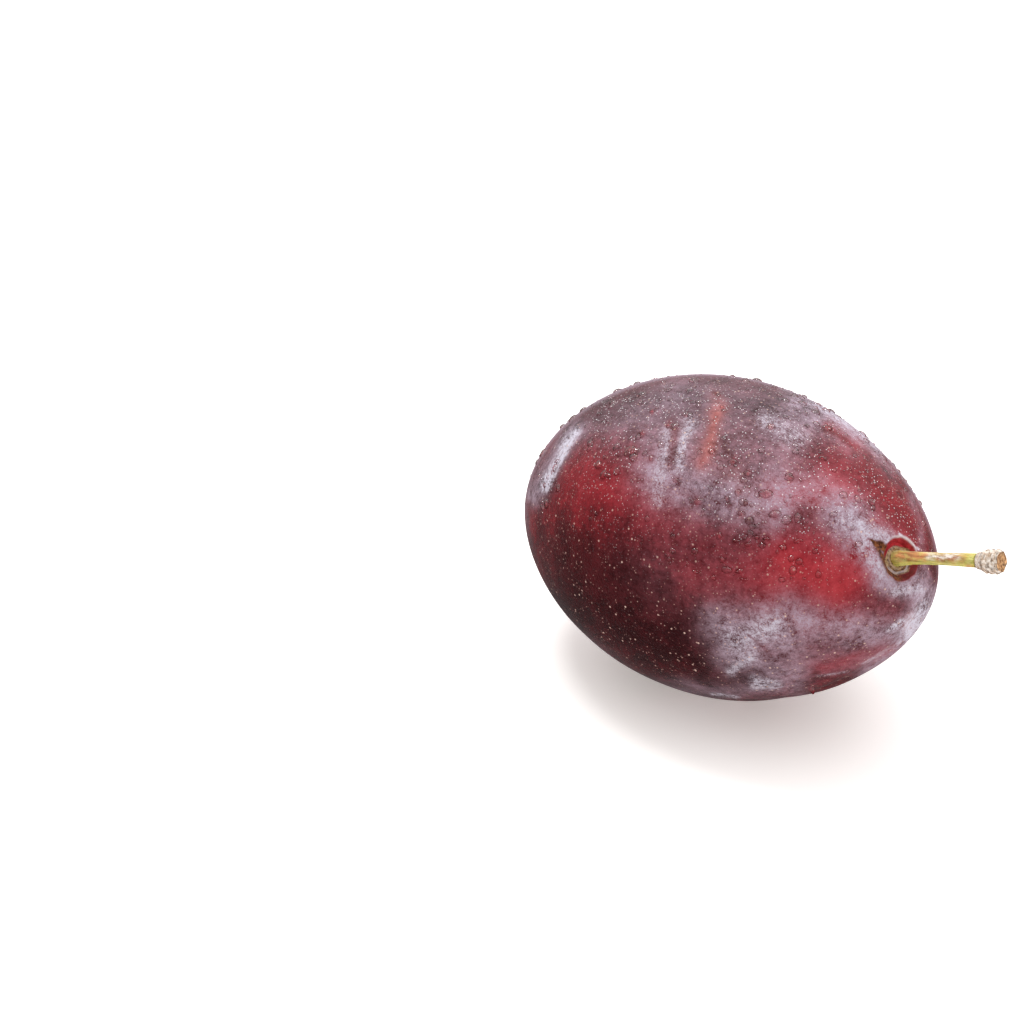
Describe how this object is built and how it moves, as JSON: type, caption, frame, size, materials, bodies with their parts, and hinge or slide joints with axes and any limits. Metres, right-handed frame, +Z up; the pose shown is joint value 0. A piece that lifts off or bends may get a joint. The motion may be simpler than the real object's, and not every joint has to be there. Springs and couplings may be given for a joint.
{
  "type": "plum",
  "caption": "Long oval European plum lying on its side, with a stem cavity, a shallow suture groove, a bent stem and a corky knob at the stem's end.",
  "frame": {"origin": "middle of the flat spot on the underside that the plum rests on", "axes": "+X runs along the fruit to the stem end, +Y across it, +Z up"},
  "size_m": [0.0719, 0.0404, 0.0412],
  "materials": {
    "skin": "smooth skin, satin, part hidden by a matt pale bloom and wet with small drops",
    "stem": "green fibrous, satin, scuffed brown on its upper side",
    "stem_cork": "rough matt cork"
  },
  "bodies": {
    "root": {"fruit": "skin", "stem": "stem", "stem_end": "stem_cork"}
  },
  "joints": []
}
